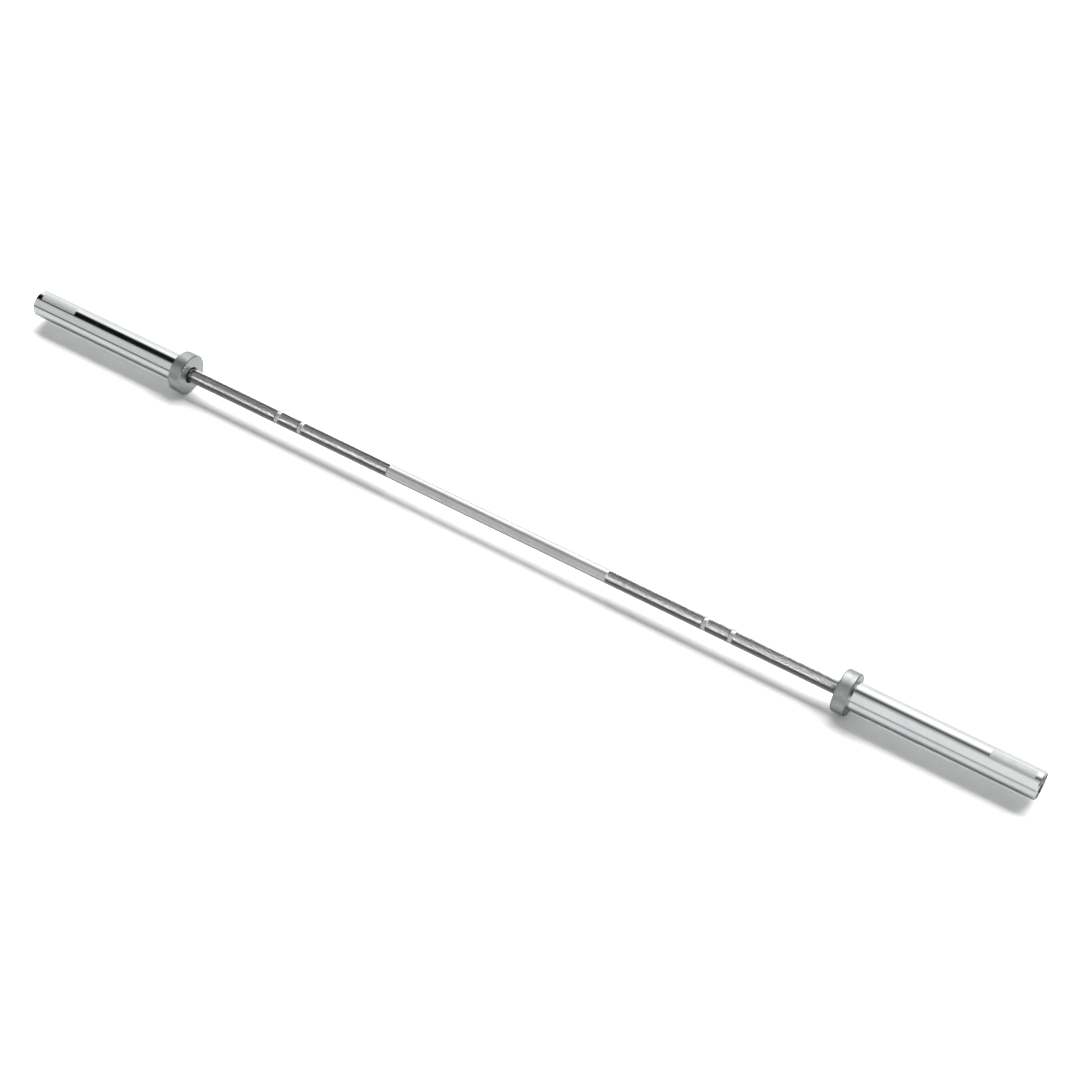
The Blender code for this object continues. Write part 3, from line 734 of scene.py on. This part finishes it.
BUSHING = [
    (660.3, 11.3, 0.2), (660.3, 18.2, 0.2), (662.8, 18.2, 0.2), (662.8, 16.2, 0.0),
    (682.3, 16.2, 0.3), (682.3, 11.3, 0.2)]
THRUST_WASHER = [
    (983.3, 11.3, 0.15), (983.3, 16.2, 0.15), (985.3, 16.2, 0.15), (985.3, 11.3, 0.15)]


def bearing_cup(start):
    """Profile of a needle bearing's drawn cup, with its rounded curled lips."""
    length, lip_width = 16.0, 1.2
    stop = start + length
    return [
        (start, 12.7, 0.3), (start, 16.2, 0.8), (stop, 16.2, 0.8), (stop, 12.7, 0.3),
        (stop - lip_width, 12.7, 0.3), (stop - lip_width, 14.2, 0.3),
        (start + lip_width, 14.2, 0.3), (start + lip_width, 12.7, 0.3)]


def o_ring(name, side):
    """O-ring of the end cap: a circle of the section's radius carried round the axis."""
    section, steps = 0.75, 24
    turn = -np.arange(steps) * (math.tau / steps)
    along = 997.4 + section * np.sin(turn)
    radius = 21.15 + section * np.cos(turn)
    return carried_round(name, along, np.repeat(radius[:, None], INNER_SECTORS, axis=1), side)


def sleeve_side(side_name, side):
    """One side's sleeve, collar and the pieces that turn with them."""
    body = side_name + "_sleeve_assembly"
    rows = [
        ("sleeve", SLEEVE, "bright_chrome", "bright_chrome", FINE_SECTORS),
        ("collar", COLLAR, "satin_chrome", "satin_chrome", FINE_SECTORS),
        ("dust_seal", DUST_SEAL, "black_rubber", "black_rubber", FINE_SECTORS),
        ("end_cap", END_CAP, "faced_chrome", "bright_chrome", FINE_SECTORS),
        ("bushing", BUSHING, "bronze", "bronze", INNER_SECTORS),
        ("thrust_washer", THRUST_WASHER, "bronze", "bronze", INNER_SECTORS),
        ("inner_bearing_cup", bearing_cup(682.6), "ground_steel", "ground_steel", INNER_SECTORS),
        ("outer_bearing_cup", bearing_cup(967.0), "ground_steel", "ground_steel", INNER_SECTORS),
    ]
    for name, corners, finish, slot, sectors in rows:
        piece = turned(f"{side_name}_turned_{name}", corners, side, sectors)
        dress(piece, finish, body, slot, f"{side_name}_{name}")
    ring = o_ring(f"{side_name}_round_o_ring", side)
    dress(ring, "black_rubber", body, "black_rubber", f"{side_name}_end_cap_o_ring")
    dress(label(f"{side_name}_label_panel", side), "label_film", body, "bright_chrome")


smooth_middle()
for side_name, side in SIDES.items():
    shaft_side(side_name, side)
    sleeve_side(side_name, side)

# Solids that are shown as they are
CARRIED_OVER = {
    "inner_needle_cage": "ground_steel", "outer_needle_cage": "ground_steel",
    "shaft_circlip": "spring_steel", "end_cap_circlip": "spring_steel"}
for side_name in SIDES:
    for name, finish in CARRIED_OVER.items():
        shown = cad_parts[f"{side_name}_{name}"]
        shown.data.materials.clear()
        shown.data.materials.append(FINISHES[finish])


# Stage

def white_floor():
    """A wide pale floor. The camera sees it as full white where it is lit, and far away."""
    half, z = 30000.0, -COLLAR_RADIUS - FLOOR_DROP
    points = np.array([[-half, -half, z], [half, -half, z], [half, half, z], [-half, half, z]])
    obj = surface("floor", points, [np.array([[0, 1, 2, 3]])])
    material = bpy.data.materials.new("white floor")
    material.use_nodes = True
    tree = material.node_tree
    shader = tree.nodes["Principled BSDF"]
    shader.inputs["Roughness"].default_value = 1.0
    shader.inputs["Specular IOR Level"].default_value = 0.0
    seen = node(tree, "ShaderNodeLightPath").outputs["Is Camera Ray"]
    tone, tone_seen = 0.8, 1.88
    tree.links.new(between(tree, seen, 0.0, 1.0, tone, tone_seen), shader.inputs["Base Color"])
    place = node(tree, "ShaderNodeSeparateXYZ", {
        0: tree.nodes.new("ShaderNodeTexCoord").outputs["Object"]})
    distance = maths(tree, "SQRT", maths(
        tree, "ADD", maths(tree, "POWER", place.outputs["X"], 2.0),
        maths(tree, "POWER", place.outputs["Y"], 2.0)))
    far_away = product(tree, seen, between(tree, distance, 1.3, 2.4, smooth=True))
    tree.links.new(far_away, shader.inputs["Emission Strength"])
    obj.data.materials.append(material)


# How far right the directions point that the left and the right sleeve show the camera
SHOWN_TO_CAMERA = (-0.53, -0.15)


def studio():
    """White backdrop and soft light all round, with dark sides and a dark strip overhead.

    The metal shows a white far side with a soft box in it, a light grey card behind the
    camera, a dark strip overhead, dusk low at the far right, a low pale wing at either side,
    and black elsewhere. The place of a direction is the angle from the horizon behind the
    camera, over the bar, to the far horizon, and how far it points to the right.
    """
    world = bpy.data.worlds.new("studio")
    bpy.context.scene.world = world
    world.use_nodes = True
    tree = world.node_tree
    tree.nodes.clear()
    way = node(tree, "ShaderNodeSeparateXYZ", {
        0: tree.nodes.new("ShaderNodeTexCoord").outputs["Generated"]})
    right, away, up = (way.outputs[axis] for axis in "XYZ")
    over = maths(tree, "MULTIPLY", maths(
        tree, "ARCTAN2", up, maths(tree, "MULTIPLY", away, -1.0)), 180.0 / math.pi)

    def along_bar(left_value, right_value):
        """A value that changes from the left sleeve's reflections to the right one's."""
        return between(tree, right, *SHOWN_TO_CAMERA, left_value, right_value)

    card = product(
        tree, between(tree, right, -0.55, -0.12, 0.62, 0.86),
        between(tree, right, -0.80, -0.62, smooth=True),
        between(tree, right, 0.02, 0.16, 1.0, 0.0, smooth=True),
        between(tree, over, 1.0, 18.0, along_bar(0.05, 0.45), 1.0, smooth=True))
    box = product(tree, between(tree, right, -0.60, -0.35, 0.0, 0.6),
                  between(tree, over, 165.0, 140.0, smooth=True))
    dusk = product(tree, between(tree, right, 0.0, 0.12, 0.0, 0.85, smooth=True),
                   between(tree, over, 148.0, 156.0, smooth=True),
                   between(tree, over, 172.0, 178.0, 1.0, 0.0, smooth=True))
    far = product(
        tree, maths(tree, "ADD", between(tree, right, -0.85, -0.60, 0.15, 0.95), box),
        between(tree, right, 0.55, 0.75, 1.0, 0.5, smooth=True),
        between(tree, right, 0.0, 0.12, 1.0, 0.6, smooth=True),
        maths(tree, "SUBTRACT", 1.0, dusk))
    beyond = between(tree, over, 95.0, 110.0, smooth=True)
    sides = maths(tree, "ADD", product(tree, card, maths(tree, "SUBTRACT", 1.0, beyond)),
                  product(tree, far, beyond))
    strip_middle, width, softness = 96.0, along_bar(27.0, 17.0), along_bar(9.0, 20.0)
    off = maths(tree, "ABSOLUTE", maths(tree, "SUBTRACT", over, strip_middle))
    off = maths(tree, "DIVIDE", maths(tree, "SUBTRACT", off, width), softness)
    open_sky = between(tree, off, -1.0, 1.0, along_bar(0.0, 0.08), 1.0, smooth=True)
    wings = product(
        tree, maths(tree, "ADD", between(tree, right, 0.08, 0.16, smooth=True),
                    between(tree, right, -0.74, -0.82, smooth=True)),
        between(tree, over, 0.0, 10.0, 0.0, 1.3, smooth=True),
        between(tree, over, 26.0, 44.0, 1.0, 0.0, smooth=True))
    darkest = 0.004
    shown = maths(tree, "ADD", product(tree, sides, open_sky), wings)
    shown = maths(tree, "ADD", shown, darkest)
    path = node(tree, "ShaderNodeLightPath")
    camera = path.outputs["Is Camera Ray"]
    metal = maths(tree, "MAXIMUM", path.outputs["Is Glossy Ray"],
                  path.outputs["Is Transmission Ray"])
    plain = 0.18
    strength = maths(tree, "ADD", product(tree, metal, shown),
                     product(tree, maths(tree, "SUBTRACT", 1.0, metal), plain))
    strength = maths(tree, "MAXIMUM", strength, camera)
    background = node(tree, "ShaderNodeBackground", {
        "Color": (1.0, 1.0, 1.0, 1.0), "Strength": strength})
    out = tree.nodes.new("ShaderNodeOutputWorld")
    tree.links.new(background.outputs[0], out.inputs["Surface"])


def key_light():
    """A long soft box over the far side of the bar, which throws its shadow forwards."""
    light = bpy.data.lights.new("soft box", "AREA")
    light.shape = "RECTANGLE"
    light.size = 7.0
    light.size_y = 2.1
    light.energy = 205.0
    obj = bpy.data.objects.new("soft box", light)
    bpy.context.scene.collection.objects.link(obj)
    rise, distance = math.radians(54.5), 3.4
    place = Vector((0.0, distance * math.cos(rise), distance * math.sin(rise)))
    obj.location = place
    obj.rotation_euler = place.to_track_quat("Z", "Y").to_euler()
    obj.visible_glossy = False
    obj.visible_camera = False


def window(finish, radiance, right_from, right_to, over_from, over_to):
    """A bright window high over the far side, seen only by the pieces of one finish.

    A direction's place is given as in the studio. The window is a flat panel far away and
    square to its middle. With half its span as the angle a each way, it is 2 d tan(a) wide
    and high at the distance d.
    """
    distance = 40.0
    left_angle, right_angle = math.asin(right_from), math.asin(right_to)
    aside = 0.5 * (left_angle + right_angle)
    over = 0.5 * math.radians(over_from + over_to)
    middle = Vector((math.sin(aside), -math.cos(over) * math.cos(aside),
                     math.sin(over) * math.cos(aside)))
    across = (Vector((1.0, 0.0, 0.0)) - middle * middle.x).normalized()
    half_height = 0.5 * math.radians(over_to - over_from) * math.cos(aside)
    light = bpy.data.lights.new("window for " + finish, "AREA")
    light.shape = "RECTANGLE"
    light.size = 2.0 * distance * math.tan(0.5 * (right_angle - left_angle))
    light.size_y = 2.0 * distance * math.tan(half_height)
    light.energy = math.pi * light.size * light.size_y * radiance
    obj = bpy.data.objects.new("window for " + finish, light)
    bpy.context.scene.collection.objects.link(obj)
    turn = Matrix((across, middle.cross(across), middle)).transposed()
    obj.matrix_world = Matrix.Translation(middle * distance) @ turn.to_4x4()
    obj.visible_camera = False
    obj.light_linking.receiver_collection = WINDOW_PIECES[finish]


def photo_camera():
    """The camera at the photograph's place, from its heading, tilt and focal length."""
    camera = bpy.data.cameras.new("camera")
    focal_pixels, picture_pixels = 2229.7, 1080.0
    camera.sensor_fit = "HORIZONTAL"
    camera.sensor_width = 36.0
    camera.lens = camera.sensor_width * focal_pixels / picture_pixels
    camera.clip_start, camera.clip_end = 0.05, 100.0
    obj = bpy.data.objects.new("camera", camera)
    bpy.context.scene.collection.objects.link(obj)
    heading, tilt = math.radians(-32.140), math.radians(50.260)
    ahead = Vector((math.sin(heading) * math.cos(tilt), math.cos(heading) * math.cos(tilt),
                    -math.sin(tilt)))
    right = Vector((math.cos(heading), -math.sin(heading), 0.0))
    up = right.cross(ahead)
    turn = Matrix((right, up, -ahead)).transposed()
    place = Vector((1.36548, -2.03507, 2.90068))
    obj.matrix_world = Matrix.Translation(place) @ turn.to_4x4()
    bpy.context.scene.camera = obj


white_floor()
studio()
key_light()
window("knurled_chrome", 16.5, 0.065, 0.495, 96.5, 145.5)
window("shaft_chrome", 1.04, -0.50, 0.20, 100.0, 155.0)
window("satin_chrome", 1.22, -0.45, 0.25, 92.0, 161.0)
photo_camera()
bpy.context.scene.view_settings.view_transform = "Standard"
